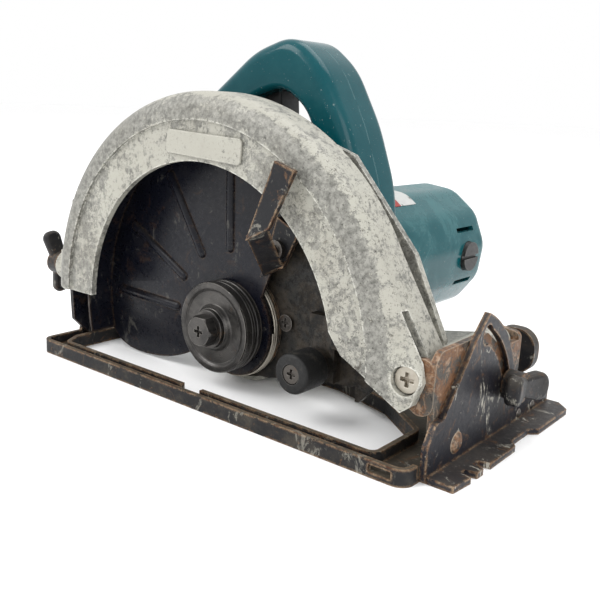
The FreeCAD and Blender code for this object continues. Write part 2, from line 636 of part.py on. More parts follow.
def gears():
    near, width = size("gear_near"), size("gear_width")
    x, z = motor_axis()
    angle = math.radians(size("motor_angle"))
    wheel = gear_shape(int(size("gear_teeth")), near, width, 7.52, 0.75, angle, 0, size("arbor_z"))
    wheel = wheel.cut(ring(22.5, 12, 0, near - 1, size("arbor_z"), 3))
    feature("drive_gear", wheel)
    teeth = int(size("pinion_teeth"))
    pinion = gear_shape(teeth, near, width + 0.5, 0, 0.8, angle + math.pi + math.pi / teeth, x, z)
    shaft = rod(size("shaft_radius"), x, near + width, z, 170.5 - near - width)
    shaft = shaft.fuse(rod(5.2, x, 66, z, 94))
    feature("armature_shaft", pinion.fuse(shaft))


def armature_parts():
    x, z = motor_axis()
    core = ring(19, 5.25, x, 86, z, 44)
    for number in range(12):
        turn = math.radians(30 * number)
        groove = rod(1.6, x + 17.6 * math.cos(turn), 85, z + 17.6 * math.sin(turn), 46)
        core = core.cut(groove)
    feature("armature_core", core)
    bars = ring(12, 5.25, x, 141, z, 15)
    for number in range(24):
        turn = 15 * number
        gap = block(11.2, 13, 140, 157, -0.3, 0.3)
        gap.rotate(Vector(0, 0, 0), Vector(0, 1, 0), turn)
        gap.translate(Vector(x, 0, z))
        bars = bars.cut(gap)
    feature("commutator", bars)
    fan = ring(29, 5.25, x, 74, z, 2)
    for number in range(12):
        blade = block(11, 28.5, 67, 74.5, -0.7, 0.7)
        blade.rotate(Vector(0, 0, 0), Vector(0, 1, 0), 30 * number)
        blade.translate(Vector(x, 0, z))
        fan = fan.fuse(blade)
    fan = fan.fuse(ring(11.5, 5.25, x, 67, z, 8))
    feature("cooling_fan", fan)
    bearing_small = (("armature_front_bearing", 52.2, 11.0), ("armature_rear_bearing", 161.0, 9.5))
    for label, near, outer in bearing_small:
        body = ring(outer, size("shaft_radius") + size("running_gap") / 2, x, near, z, 7)
        body = body.cut(ring(outer - 2.4, outer - 4.0, x, near - 1, z, 1.6))
        feature(label, body)


# ---------------------------------------------------------------- gear housing and motor

def gear_housing():
    """Cast housing: round about the gear low down, and about the motor's axis higher up."""
    arbor = size("arbor_z")
    x, z = motor_axis()
    near = size("case_depth") + 0.02
    end = size("motor_near")
    motor = size("motor_radius")
    outer = rod(29.7, 0, near, arbor, 52.4 - near).fuse(rod(motor - 0.5, x, near, z, end - near))
    outer = outer.fuse(rod(12.5, 0, 50, arbor, end - 50))
    space = rod(27.9, 0, near - 1, arbor, 51.7 - near).fuse(rod(7.8, 0, 45, arbor, 6.2))
    space = space.fuse(rod(motor - 4, x, near - 1, z, 52.5 - near))
    shape = outer.cut(space)
    shape = shape.fuse(ring(13.5, 11.01, x, 51.5, z, end - 51.5))
    shape = shape.cut(rod(11.01, x, 52.1, z, 20)).cut(rod(5.6, x, 40, z, 40))
    shape = shape.cut(rod(9.01, 0, 51.9, arbor, 7.3)).cut(rod(6.2, 0, 45, arbor, 10))
    feature("gear_housing", shape.removeSplitter())


def facet_ring(radius, count, start, x, z):
    return [(x + radius * math.cos(math.radians(start + 360 / count * number)),
             z + radius * math.sin(math.radians(start + 360 / count * number))) for number in range(count)]


def motor_outline(grow):
    x, z = motor_axis()
    wire = rounded(facet_ring(size("motor_radius") + 1, 12, 8, x, z), 16)
    return wire.makeOffset2D(grow) if grow else wire


def motor_housing():
    x, z = motor_axis()
    near, end = size("motor_near") + 0.02, size("motor_end")
    radius = size("motor_radius")
    shell = slab(motor_outline(0), "xz", near, end)
    rear = [edge for edge in shell.Edges if edge.BoundBox.YMin > end - 0.01]
    shell = shell.makeFillet(11, rear)
    hollow = rod(radius - 3.2, x, near - 1, z, end - 4 - near - 10)
    hollow = hollow.fuse(rod(radius - 10, x, near, z, end - 3.5 - near))
    shell = shell.cut(hollow)
    shell = shell.fuse(ring(13, 9.51, x, 160.5, z, end - 161))
    for level in range(5):
        height = z - 14 + 7 * level
        for low, high in ((x + 24, x + 40), (x - 40, x - 24)):
            if abs(height - z) > 10:
                shell = shell.cut(block(low, high, 140, 158, height - 1.2, height + 1.2))
    for way in (-1, 1):
        low = x if way > 0 else x - 50
        shell = shell.cut(rod(8.0, low, 149, z, 50, "x"))
    feature("motor_housing", shell)
    foil = slab(motor_outline(0.4), "xz", 82, 116).cut(slab(motor_outline(0.02), "xz", 80, 118))
    label = foil.common(slab(arc_band(radius - 3, radius + 5, 56, 92, (x, z)), "xz", 82, 116))
    feature("rating_label", label)


def brushes():
    x, z = motor_axis()
    caps, holders, carbons = [], [], []
    radius = size("motor_radius")
    for way in (-1, 1):
        face = x + way * (radius + 2.2)
        cap = rod(7.8, min(face, face - way * 8), 149, z, 8, "x")
        slot_low = min(face, face - way * 1.6)
        cap = cap.cut(block(slot_low, slot_low + 1.6, 140, 158, z - 0.9, z + 0.9))
        caps.append(cap)
        holder_far = face - way * 8.2
        holder_near = x + way * 13.5
        tube = block(min(holder_far, holder_near), max(holder_far, holder_near), 144, 154, z - 5.5, z + 5.5)
        tube = tube.cut(block(x - 50, x + 50, 145.4, 152.6, z - 3.6, z + 3.6))
        holders.append(tube)
        tip = x + way * 12.1
        tail = x + way * 24
        carbons.append(block(min(tip, tail), max(tip, tail), 145.6, 152.4, z - 3.4, z + 3.4))
    feature("brush_caps", Part.makeCompound(caps))
    feature("brush_holders", Part.makeCompound(holders))
    feature("carbon_brushes", Part.makeCompound(carbons))


def field_parts():
    x, z = motor_axis()
    core = ring(31, 26, x, 88, z, 40)
    for way in (-1, 1):
        pole = ring(27, 19.8, x, 88, z, 40).common(
            block(x - 14, x + 14, 80, 140, min(z, z + way * 30), max(z, z + way * 30)))
        core = core.fuse(pole)
    feature("stator_core", core.removeSplitter())
    coils = []
    for way in (-1, 1):
        band = ring(25.6, 20.2, x, 83, z, 50)
        band = band.cut(block(x - 14.4, x + 14.4, 87.6, 128.4, z - 40, z + 40))
        inner, outer = z + way * 1.2, z + way * 32
        coils.append(band.common(block(x - 30, x + 30, 80, 140, min(inner, outer), max(inner, outer))))
    feature("field_coils", Part.makeCompound(coils))
    feature("baffle_plate", ring(31.1, 21.5, x, 77.4, z, 1.6))


# ---------------------------------------------------------------- handle

def handle_outline(inset):
    """The handle's side outline: (x, z, radius), or (x, z) where it hardly bends."""
    points = [(58.5, 72, 16), (54.5, 98, 70), (45, 123, 90), (31, 147.5, 40), (13, 161.2, 20), (-10, 154, 45),
              (-40, 132), (-72, 107), (-99, 84, 36), (-107, 66, 13), (-96, 52, 14), (-76, 52, 28),
              (-46, 70), (-20, 84, 40), (6, 84, 24), (30, 60, 18), (50, 60, 12)]
    wire = rounded(points, 7)
    return wire if not inset else wire.makeOffset2D(-inset)


def finger_hole(grow):
    points = [(29, 98, 8), (31, 112, 18), (23, 129, 22), (9, 138.5, 16), (-8, 134, 34), (-34, 114),
              (-64, 91, 60), (-78, 78, 5.2), (-72, 70, 5.6), (-40, 84), (-10, 96, 50)]
    wire = rounded(points, 5)
    return wire if not grow else wire.makeOffset2D(grow)


def hole_rim(edge):
    """Whether an edge lies on the finger hole's outline."""
    hole = finger_hole(0)
    middle = edge.valueAt((edge.FirstParameter + edge.LastParameter) / 2)
    point = Part.Vertex(Vector(middle.x, middle.z, 0))
    return hole.distToShape(point)[0] < 0.01


def handle():
    near, far = size("handle_near"), size("handle_far")
    wall = size("handle_wall")
    middle = (near + far) / 2
    x, z = motor_axis()
    solid = slab(handle_outline(0), "xz", near, far)
    solid = solid.makeFillet(6, [edge for edge in solid.Edges if edge.BoundBox.YLength < 0.01])
    solid = solid.cut(slab(finger_hole(0), "xz", near - 1, far + 1))
    rim = [edge for edge in solid.Edges if edge.BoundBox.YLength < 0.01 and hole_rim(edge)]
    solid = solid.makeFillet(3, rim)
    hollow = slab(handle_outline(wall), "xz", near + wall, far - wall)
    hollow = hollow.cut(slab(finger_hole(wall), "xz", near, far))
    motor = size("motor_radius") + 1.3
    keep_out = rod(motor, x, 40, z, 50).fuse(rod(30.0, 0, 40, size("arbor_z"), 13))
    keep_out = keep_out.fuse(rod(12.8, 0, 40, size("arbor_z"), 21))
    solid = solid.cut(hollow).cut(keep_out)
    trigger_slot = block(-26, 8, middle - 7.3, middle + 7.3, 98, 146)
    solid = solid.cut(trigger_slot.common(slab(finger_hole(wall + 2), "xz", near, far)))
    solid = solid.cut(rod(5.6, -14, far - 9, 141, 15))
    solid = solid.cut(rod(6.1, -120, middle, 68, 24, "x"))
    for screw_x, screw_z in HANDLE_SCREWS:
        solid = solid.cut(rod(3.75, screw_x, far - 1.9, screw_z, 5))
        solid = solid.cut(rod(2.0, screw_x, 53.5, screw_z, 40))
    right = ("handle_right_shell", near - 5, middle - 0.02)
    left = ("handle_left_shell", middle + 0.02, far + 5)
    for label, low, high in (right, left):
        half = solid.common(block(-140, 100, low, high, 20, 180))
        feature(label, max(half.Solids, key=lambda piece: piece.Volume))


def handle_parts():
    near, far = size("handle_near"), size("handle_far")
    middle = (near + far) / 2
    grip = rounded([(-22, 112), (-16, 108), (-4, 117), (2, 126), (1, 139), (-8, 139), (-22, 128)], 3)
    feature("trigger", slab(grip, "xz", middle - 7, middle + 7))
    turned("lock_button", [("0", "0"), ("5.3", "0"), ("5.3", "6.5"), ("4.3", "7.5"), ("0", "7.5")],
           x="-14", y="handle_far - 5.4", z="141")
    switch = block(3.5, 16.5, middle - 10, middle + 10, 142.8, 151)
    feature("switch", switch)
    turned("cord_gland", [
        ("3.6", "0"), ("9", "0"), ("9", "2.5"), ("6", "2.5"), ("6", "14"), ("7.2", "14"),
        ("7.2", "16.5"), ("3.6", "16.5"),
    ], x="-111.5", y="(handle_near + handle_far) / 2", z="68", along="x")
    screws = []
    for screw_x, screw_z in HANDLE_SCREWS:
        screw = rod(3.6, screw_x, far - 1.8, screw_z, 2.4).fuse(rod(1.9, screw_x, 54, screw_z, far - 55))
        arm = 1.2
        for wide, tall in ((4.2, arm), (arm, 4.2)):
            screw = screw.cut(block(screw_x - wide / 2, screw_x + wide / 2, far - 0.8, far + 1,
                                    screw_z - tall / 2, screw_z + tall / 2))
        screws.append(screw)
    feature("handle_screws", Part.makeCompound(screws))


# ---------------------------------------------------------------- guard

def guard():
    arbor = size("arbor_z")
    radius = size("guard_radius")
    metal = size("guard_sheet")
    near = size("guard_near")
    start, end = 60, 193
    edge_top = Vector(*polar(radius, start), 0)
    edge_mid = Vector(*polar(radius, (start + end) / 2), 0)
    edge_low = Vector(*polar(radius, end), 0)
    arc = Part.Arc(edge_top, edge_mid, edge_low).toShape()
    lobe = Part.BSplineCurve()
    lobe.interpolate([edge_low, Vector(-77, 3.0, 0), Vector(-60, 1.3, 0), Vector(-42, 3.8, 0),
                      Vector(-20, 13.7, 0)])
    hub_front = Vector(*polar(25, 40), 0)
    hub_low = Vector(*polar(24.5, 232), 0)
    hub_mid = Vector(*polar(25, -40), 0)
    outline = Part.Wire([arc, lobe.toShape(), Part.LineSegment(Vector(-20, 13.7, 0), hub_low).toShape(),
                         Part.Arc(hub_low, hub_mid, hub_front).toShape(),
                         Part.LineSegment(hub_front, edge_top).toShape()])
    disc = slab(outline, "xz", near, near + metal)
    band = arc_band(radius - metal, radius, start, end, (0, arbor))
    shape = disc.fuse(slab(band, "xz", size("guard_rim_near"), near + metal))
    hub = ring(23.6, size("hub_radius") + size("running_gap"), 0, near, arbor, 4.6)
    shape = shape.fuse(hub).cut(rod(size("hub_radius") + size("running_gap"), 0, 0, arbor, 60))
    for degrees in (91, 122, 151, 178):
        low = Vector(*polar(36, degrees), 0)
        high = Vector(*polar(77, degrees), 0)
        rib = Part.makeCylinder(2.6, (high - low).Length, Vector(low.x, near + 0.9, low.y),
                                Vector(high.x - low.x, 0, high.y - low.y))
        for end_point in (low, high):
            rib = rib.fuse(Part.makeSphere(2.6, Vector(end_point.x, near + 0.9, end_point.y)))
        shape = shape.fuse(rib.common(block(-100, 100, near - 3, near + metal * 0.5, 0, 130)))
    feature("lower_guard", shape.removeSplitter())
    sleeve("guard_snap_ring", "20.6", "hub_radius - 0.95", "22.9", "23.5", z="arbor_z")


def guard_lever():
    """Folded lever: a foot on the guard and an arm that leans out in front of the case's ring."""
    foot_plate = slab(polygon([(20, 56), (33, 62), (41, 78), (29, 84)]), "xz", 21.2, 23.5)
    x, z = 30, 70
    foot_plate = foot_plate.cut(rod(2.05, x, 20, z, 5))
    low = [Vector(x, 21.3, z) for x, z in ((22, 57), (33, 63), (31.6, 64.4), (21.2, 58.6))]
    high = [Vector(x, -6.0, z) for x, z in ((37, 78), (48, 84), (46.6, 85.4), (36.2, 79.6))]
    lean = Part.makeLoft([Part.makePolygon(low + low[:1]), Part.makePolygon(high + high[:1])], True)
    arm = slab(polygon([(36, 77.5), (48, 83.5), (60, 107), (50, 110)]), "xz", -6.2, -4.0)
    feature("guard_lever", foot_plate.fuse([lean, arm]).removeSplitter())
    screw = rod(2.0, x, 17.5, z, 6).fuse(rod(4.2, x, 18.9, z, 2.3))
    feature("lever_screw", cross_recess(screw, x, 18.9, z, 4.4, 1.2))


def return_spring():
    """Guard spring: a little over two and a half turns of wire round the guard's hub."""
    wire = 1.1
    pitch = 1.25
    turns = 2.6
    helix = Part.makeHelix(pitch, pitch * turns, 25.4)
    start = helix.Edges[0].Vertexes[0].Point
    circle = Part.Wire(Part.makeCircle(wire / 2, start, Vector(0, 1, 0)))
    coil = Part.Wire(helix).makePipeShell([circle], True, True)
    coil.rotate(Vector(0, 0, 0), Vector(1, 0, 0), -90)
    coil.translate(Vector(0, 25.5, size("arbor_z")))
    feature("return_spring", coil)


# ---------------------------------------------------------------- assembly

sole()
front_plate()
sole_rivets()
fence_screw()
tilt_frame()
depth_pivot()
clamps()
blade_case()
name_plate()
guard_cushion()
bearing_retainer()
spindle_parts()
gears()
armature_parts()
gear_housing()
motor_housing()
brushes()
field_parts()
handle()
handle_parts()
guard()
guard_lever()
return_spring()
doc.recompute()

box = FreeCAD.BoundBox()
for piece in pieces.values():
    box.add(piece.Shape.optimalBoundingBox(False))
sheet.set("middle_x", str(round(box.Center.x, 3)))
sheet.set("middle_y", str(round(box.Center.y, 3)))
doc.recompute()
for piece in pieces.values():
    if piece.TypeId == "Part::Feature":
        own = piece.Placement.Base
        piece.setExpression("Placement.Base.x", f"{own.x} - sizes.middle_x")
        piece.setExpression("Placement.Base.y", f"{own.y} - sizes.middle_y")
doc.recompute()

failed = [item.Name for item in doc.Objects if "Invalid" in item.State or "Error" in item.State]
if failed:
    raise RuntimeError(f"objects that failed to build: {failed}")
os.makedirs("parts", exist_ok=True)
bad = [label for label, piece in pieces.items() if piece.Shape.isNull() or not piece.Shape.isValid()]
if bad:
    raise RuntimeError(f"pieces with no valid shape: {bad}")
for label, piece in pieces.items():
    piece.Shape.exportStep(f"parts/{label}.step")
    print(label, round(piece.Shape.Volume), len(piece.Shape.Solids))
print("box", [round(value, 2) for value in (box.XLength, box.YLength, box.ZLength)], box.Center, box.ZMin)
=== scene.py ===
"""Looks for a worn circular saw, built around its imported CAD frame."""

import json
import math

import bmesh
import bpy
from mathutils import Matrix, Vector


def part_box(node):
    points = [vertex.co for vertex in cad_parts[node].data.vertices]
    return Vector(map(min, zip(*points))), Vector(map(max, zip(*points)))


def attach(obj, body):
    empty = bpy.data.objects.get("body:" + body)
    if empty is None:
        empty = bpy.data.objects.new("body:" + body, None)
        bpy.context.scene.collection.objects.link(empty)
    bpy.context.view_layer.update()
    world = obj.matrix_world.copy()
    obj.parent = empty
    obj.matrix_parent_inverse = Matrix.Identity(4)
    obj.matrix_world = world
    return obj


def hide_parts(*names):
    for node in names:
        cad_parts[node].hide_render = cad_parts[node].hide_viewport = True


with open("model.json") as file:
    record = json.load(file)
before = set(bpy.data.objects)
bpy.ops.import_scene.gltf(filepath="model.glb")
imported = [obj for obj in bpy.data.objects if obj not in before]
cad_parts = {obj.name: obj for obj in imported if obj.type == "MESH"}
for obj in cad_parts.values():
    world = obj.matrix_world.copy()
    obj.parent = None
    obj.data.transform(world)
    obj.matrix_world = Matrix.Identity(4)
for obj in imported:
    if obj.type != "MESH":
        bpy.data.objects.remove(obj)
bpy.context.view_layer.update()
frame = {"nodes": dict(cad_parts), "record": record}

MM = 0.001
ARBOR_Z = 30.0
spindle_low, spindle_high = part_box("spindle")
ARBOR_X = (spindle_low.x + spindle_high.x) / 2
CASE_FACE_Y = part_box("blade_case")[0].y
# The blade case in mm: radii about the arbor, then depths behind the case's face.
CASE_STEP_RADIUS = 93.5
CASE_RIM_RADIUS = 102.75
CAVITY_RADIUS = 101.4
CAVITY_NEAR = 4.75
CAVITY_FAR = 32.6
BACK_SLOPE_START = 20.0
# The label's red band in mm, and where it starts as a share of the label's depth.
BAND_START = 0.34
BAND_WIDTH = 8.0
BAND_FADE = 0.2
# Mesh clean-up: points nearer than the weld distance in metres are joined, faces within
# the flat angle are made one, and edges past the sharp angle are rounded.
WELD_DISTANCE = 2e-6
FLAT_ANGLE = math.radians(0.4)
SHARP_ANGLE = math.radians(32)
# The floor and lights in metres and watts: name, place, width, height, power.
FLOOR_RADIUS = 9.0
LIGHT_TARGET = (0.0, 0.0, 0.07)
LIGHTS = (
    ("key", (-0.75, -0.95, 1.15), 0.9, 0.9, 15),
    ("fill", (1.25, -0.55, 0.7), 0.8, 1.0, 7),
    ("top", (0.1, 0.5, 1.4), 1.2, 0.8, 9),
)
# The camera's place as in at(), its turns in degrees, and its lens in mm.
CAMERA_PLACE = (246.2, -232.8, 131.6)
CAMERA_YAW_PITCH_ROLL = (38.6, -14.09, 2.49)
CAMERA_LENS = 47.12


def at(x, y, z):
    """A point given in mm from the arbor axis, the case's face and the sole's underside."""
    return Vector((x * MM + ARBOR_X, y * MM + CASE_FACE_Y, z * MM))


# ---------------------------------------------------------------- materials

def srgb(red, green, blue):
    """A linear colour from 0 to 255 display values."""
    def linear(value):
        value /= 255
        return value / 12.92 if value <= 0.04045 else ((value + 0.055) / 1.055) ** 2.4
    return (linear(red), linear(green), linear(blue), 1.0)


class Recipe:
    """A material, and short ways to add nodes to it. A value may be a socket, a number or a colour."""

    def __init__(self, name, metallic, roughness, coat=0.0, specular=0.5):
        self.material = bpy.data.materials.new(name)
        self.material.use_nodes = True
        self.tree = self.material.node_tree
        self.shader = self.tree.nodes["Principled BSDF"]
        self.shader.inputs["Metallic"].default_value = metallic
        self.shader.inputs["Roughness"].default_value = roughness
        self.shader.inputs["Coat Weight"].default_value = coat
        self.shader.inputs["Coat Roughness"].default_value = 0.12
        self.shader.inputs["Specular IOR Level"].default_value = specular
        self.place = self.node("ShaderNodeTexCoord").outputs["Object"]

    def node(self, kind, **settings):
        made = self.tree.nodes.new(kind)
        for key, value in settings.items():
            setattr(made, key, value)
        return made

    def feed(self, socket, value):
        if isinstance(value, bpy.types.NodeSocket):
            self.tree.links.new(value, socket)
        else:
            socket.default_value = value

    def noise(self, scale, detail, rough=0.6, stretch=None, warp=0.0):
        made = self.node("ShaderNodeTexNoise")
        place = self.place
        if stretch:
            mapping = self.node("ShaderNodeMapping")
            mapping.inputs["Scale"].default_value = stretch
            self.feed(mapping.inputs["Vector"], place)
            place = mapping.outputs["Vector"]
        self.feed(made.inputs["Vector"], place)
        made.inputs["Scale"].default_value = scale
        made.inputs["Detail"].default_value = detail
        made.inputs["Roughness"].default_value = rough
        made.inputs["Distortion"].default_value = warp
        return made.outputs["Fac"]

    def level(self, value, low, high, first=0.0, last=1.0):
        """A value below low gives first, above high gives last, with a smooth change between."""
        made = self.node("ShaderNodeMapRange")
        made.interpolation_type = "SMOOTHSTEP"
        for name, number in (("Value", value), ("From Min", low), ("From Max", high),
                             ("To Min", first), ("To Max", last)):
            self.feed(made.inputs[name], number)
        return made.outputs["Result"]

    def sum(self, first, second, operation="ADD"):
        made = self.node("ShaderNodeMath", operation=operation)
        made.use_clamp = operation in ("ADD", "MULTIPLY", "MAXIMUM")
        self.feed(made.inputs[0], first)
        self.feed(made.inputs[1], second)
        return made.outputs[0]

    def mix(self, factor, first, second):
        made = self.node("ShaderNodeMix", data_type="RGBA")
        self.feed(made.inputs["Factor"], factor)
        self.feed(made.inputs[6], first)
        self.feed(made.inputs[7], second)
        return made.outputs[2]

    def edges(self, radius, low, high):
        """1 on edges sharper than the radius, 0 on flat faces."""
        bevel = self.node("ShaderNodeBevel", samples=6)
        bevel.inputs["Radius"].default_value = radius
        dot = self.node("ShaderNodeVectorMath", operation="DOT_PRODUCT")
        self.feed(dot.inputs[0], bevel.outputs["Normal"])
        self.feed(dot.inputs[1], self.node("ShaderNodeNewGeometry").outputs["Normal"])
        return self.level(dot.outputs["Value"], 1 - high, 1 - low, 1.0, 0.0)

    def axis(self, name):
        split = self.node("ShaderNodeSeparateXYZ")
        self.feed(split.inputs[0], self.place)
        return split.outputs[name]

    def from_arbor(self, along):
        """The place seen from the arbor axis; along scales the distance along that axis."""
        shift = self.node("ShaderNodeMapping")
        shift.inputs["Location"].default_value = (-ARBOR_X, 0, -ARBOR_Z * MM)
        shift.inputs["Scale"].default_value = (1, along, 1)
        self.feed(shift.inputs["Vector"], self.place)
        return shift.outputs["Vector"]

    def arbor_radius(self):
        """Distance from the arbor axis, in metres."""
        length = self.node("ShaderNodeVectorMath", operation="LENGTH")
        self.feed(length.inputs[0], self.from_arbor(0))
        return length.outputs["Value"]

    def inside_case(self, radius):
        """1 on the walls round the blade's space, where the case gets its painted shade, 0 on the case's
        outside, with its sloping back.
        """
        depth = self.sum(self.axis("Y"), CASE_FACE_Y, "SUBTRACT")
        slope = self.sum(depth, BACK_SLOPE_START * MM, "SUBTRACT")
        slope = self.sum(slope, 0.0, "MAXIMUM")
        reach = self.sum(radius, slope)
        reach = self.level(reach, (CAVITY_RADIUS - 0.4) * MM, (CAVITY_RADIUS + 0.4) * MM, 1.0, 0.0)
        behind_face = self.level(depth, (CAVITY_NEAR - 1.25) * MM, (CAVITY_NEAR + 1.25) * MM)
        before_back = self.level(depth, (CAVITY_FAR - 0.4) * MM, (CAVITY_FAR + 0.4) * MM, 1.0, 0.0)
        return self.sum(reach, self.sum(behind_face, before_back, "MULTIPLY"), "MULTIPLY")

    def facing_up(self, low, high):
        """1 where the surface looks up, as dust settles."""
        split = self.node("ShaderNodeSeparateXYZ")
        self.feed(split.inputs[0], self.node("ShaderNodeNewGeometry").outputs["Normal"])
        return self.level(split.outputs["Z"], low, high)

    def colour(self, value):
        self.feed(self.shader.inputs["Base Color"], value)

    def roughness(self, value):
        self.feed(self.shader.inputs["Roughness"], value)

    def metallic(self, value):
        self.feed(self.shader.inputs["Metallic"], value)

    def bump(self, *layers):
        """Each layer is (height, strength, distance in metres)."""
        normal = None
        for height, strength, distance in layers:
            made = self.node("ShaderNodeBump")
            made.inputs["Strength"].default_value = strength
            made.inputs["Distance"].default_value = distance
            self.feed(made.inputs["Height"], height)
            if normal:
                self.feed(made.inputs["Normal"], normal)
            normal = made.outputs["Normal"]
        self.feed(self.shader.inputs["Normal"], normal)


def cast_paint(name, wear):
    """Pale paint over cast aluminium, rubbed through in patches. wear shifts how much is bare."""
    made = Recipe(name, 0.0, 0.5, specular=0.4)
    radius = made.arbor_radius()
    cloud = made.noise(55, 6, 0.65)
    grain = made.noise(480, 5, 0.75)
    patch = made.noise(330, 9, 0.84, warp=0.2)
    paint = made.mix(cloud, srgb(150, 149, 139), srgb(178, 176, 165))
    paint = made.mix(made.level(made.noise(16, 3), 0.42, 0.62), paint, srgb(160, 158, 148))
    metal = made.mix(made.level(grain, 0.3, 0.7), srgb(70, 70, 67), srgb(150, 149, 143))
    outer_band = made.level(radius, (CASE_STEP_RADIUS - 1) * MM, (CASE_STEP_RADIUS + 1) * MM)
    rim = made.level(radius, (CASE_RIM_RADIUS - 1.25) * MM, (CASE_RIM_RADIUS + 1.25) * MM)
    front = made.level(made.axis("X"), ARBOR_X + 10 * MM, ARBOR_X + 80 * MM)
    bare = made.sum(made.sum(patch, 0.7, "MULTIPLY"), made.sum(cloud, 0.3, "MULTIPLY"))
    bare = made.sum(bare, made.sum(outer_band, 0.07, "MULTIPLY"))
    bare = made.sum(bare, made.sum(rim, 0.09, "MULTIPLY"), "SUBTRACT")
    worn = made.level(bare, 0.50 - wear, 0.545 - wear)
    edge = made.sum(made.edges(0.0014, 0.02, 0.12), made.level(grain, 0.3, 0.75), "MULTIPLY")
    edge = made.level(edge, 0.25, 0.6)
    shade = made.mix(made.sum(worn, 0.82, "MULTIPLY"), paint, metal)
    shade = made.mix(made.sum(edge, 0.8, "MULTIPLY"), shade, srgb(214, 213, 204))
    speck_noise = made.noise(950, 3, 0.75)
    speckled = made.sum(made.sum(front, 0.55, "MULTIPLY"), 0.22)
    specks = made.level(speck_noise, 0.60, 0.66)
    shade = made.mix(made.sum(specks, speckled, "MULTIPLY"), shade, srgb(40, 37, 32))
    chips = made.sum(made.level(made.noise(150, 9, 0.8, warp=0.8), 0.60, 0.63), front, "MULTIPLY")
    shade = made.mix(made.sum(chips, 0.75, "MULTIPLY"), shade, srgb(66, 60, 52))
    grime = made.level(made.noise(26, 6, 0.7), 0.48, 0.75)
    shade = made.mix(made.sum(grime, 0.34, "MULTIPLY"), shade, srgb(104, 98, 84))
    # Painted shade: the walls inside the case's cavity are darkened to near black, mottled with dark brown
    # grime.
    cavity_shade_and_grime = made.mix(made.level(made.noise(90, 7, 0.75), 0.4, 0.62), srgb(9, 8, 8), srgb(48, 40, 31))
    shade = made.mix(made.sum(made.inside_case(radius), 0.97, "MULTIPLY"), shade, cavity_shade_and_grime)
    made.colour(shade)
    made.metallic(made.sum(worn, 0.4, "MULTIPLY"))
    made.roughness(made.level(grain, 0.3, 0.7, 0.38, 0.6))
    made.bump((grain, 0.22, 0.0005), (patch, 0.3, 0.0005), (speck_noise, 0.2, 0.0003))
    return made.material


def black_paint(name, dust, rust, base, gloss, scuffs):
    """Black paint on steel, with dust that settles on top, pale scuffs, rust spots and rusty edges."""
    made = Recipe(name, 0.0, gloss, specular=0.22)
    cloud = made.noise(30, 6, 0.62)
    fine = made.noise(520, 6, 0.75)
    shade = made.mix(cloud, srgb(*base), srgb(base[0] + 12, base[1] + 13, base[2] + 17))
    settled = made.sum(made.facing_up(0.2, 0.95), made.level(cloud, 0.35, 0.65, 0.4, 1.0), "MULTIPLY")
    film = made.sum(made.level(made.noise(60, 8, 0.7), 0.45, 0.72), 0.5, "MULTIPLY")
    dusty = made.sum(made.sum(settled, film), dust, "MULTIPLY")
    shade = made.mix(dusty, shade, srgb(120, 110, 94))
    edge = made.edges(0.0022, 0.02, 0.14)
    worn = made.level(made.sum(edge, made.level(made.noise(210, 6, 0.7), 0.30, 0.60), "MULTIPLY"), 0.3, 0.65)
    rusty = made.mix(made.level(fine, 0.35, 0.65), srgb(88, 56, 36), srgb(158, 136, 110))
    shade = made.mix(made.sum(worn, rust, "MULTIPLY"), shade, rusty)
    spots = made.level(made.noise(110, 8, 0.8, warp=1.0), 0.56, 0.64)
    shade = made.mix(made.sum(spots, made.sum(rust, 0.7, "MULTIPLY"), "MULTIPLY"), shade, srgb(98, 72, 50))
    chalk = made.level(made.noise(90, 8, 0.8, stretch=(1.0, 1.5, 0.6), warp=0.8), 0.58, 0.62)
    shade = made.mix(made.sum(chalk, scuffs, "MULTIPLY"), shade, srgb(168, 164, 152))
    specks = made.level(made.noise(620, 3, 0.8), 0.70, 0.72)
    shade = made.mix(made.sum(specks, scuffs, "MULTIPLY"), shade, srgb(176, 172, 162))
    made.colour(shade)
    made.metallic(made.sum(worn, 0.5, "MULTIPLY"))
    made.roughness(made.level(made.sum(fine, dusty), 0.3, 1.0, gloss - 0.06, gloss + 0.28))
    made.bump((fine, 0.16, 0.0004), (made.noise(140, 3), 0.15, 0.0006))
    return made.material


def rusty_steel(name, amount, light=(150, 126, 104)):
    """Dark steel with brown rust in patches, tan dust and pale scuffs."""
    made = Recipe(name, 0.2, 0.55)
    cloud = made.noise(95, 8, 0.75, warp=0.6)
    fine = made.noise(650, 6, 0.75)
    steel = made.mix(fine, srgb(38, 36, 34), srgb(84, 79, 72))
    rust = made.mix(made.level(fine, 0.3, 0.7), srgb(72, 46, 30), srgb(124, 88, 58))
    shade = made.mix(made.level(cloud, 0.58 - amount * 0.22, 0.64 - amount * 0.22), steel, rust)
    tan = made.level(made.noise(130, 8, 0.78, warp=0.9), 0.52, 0.60)
    shade = made.mix(made.sum(tan, 0.75, "MULTIPLY"), shade, srgb(*light))
    black = made.level(made.noise(75, 7, 0.75, warp=0.5), 0.55, 0.62)
    shade = made.mix(made.sum(black, 0.85, "MULTIPLY"), shade, srgb(28, 26, 25))
    chalk = made.level(made.noise(240, 7, 0.8, warp=0.6), 0.62, 0.66)
    shade = made.mix(made.sum(chalk, 0.6, "MULTIPLY"), shade, srgb(184, 176, 158))
    shade = made.mix(made.sum(made.edges(0.0009, 0.03, 0.15), 0.5, "MULTIPLY"), shade, srgb(170, 156, 136))
    made.colour(shade)
    made.roughness(made.level(fine, 0.3, 0.7, 0.42, 0.72))
    made.bump((fine, 0.35, 0.0004), (cloud, 0.3, 0.0006))
    return made.material


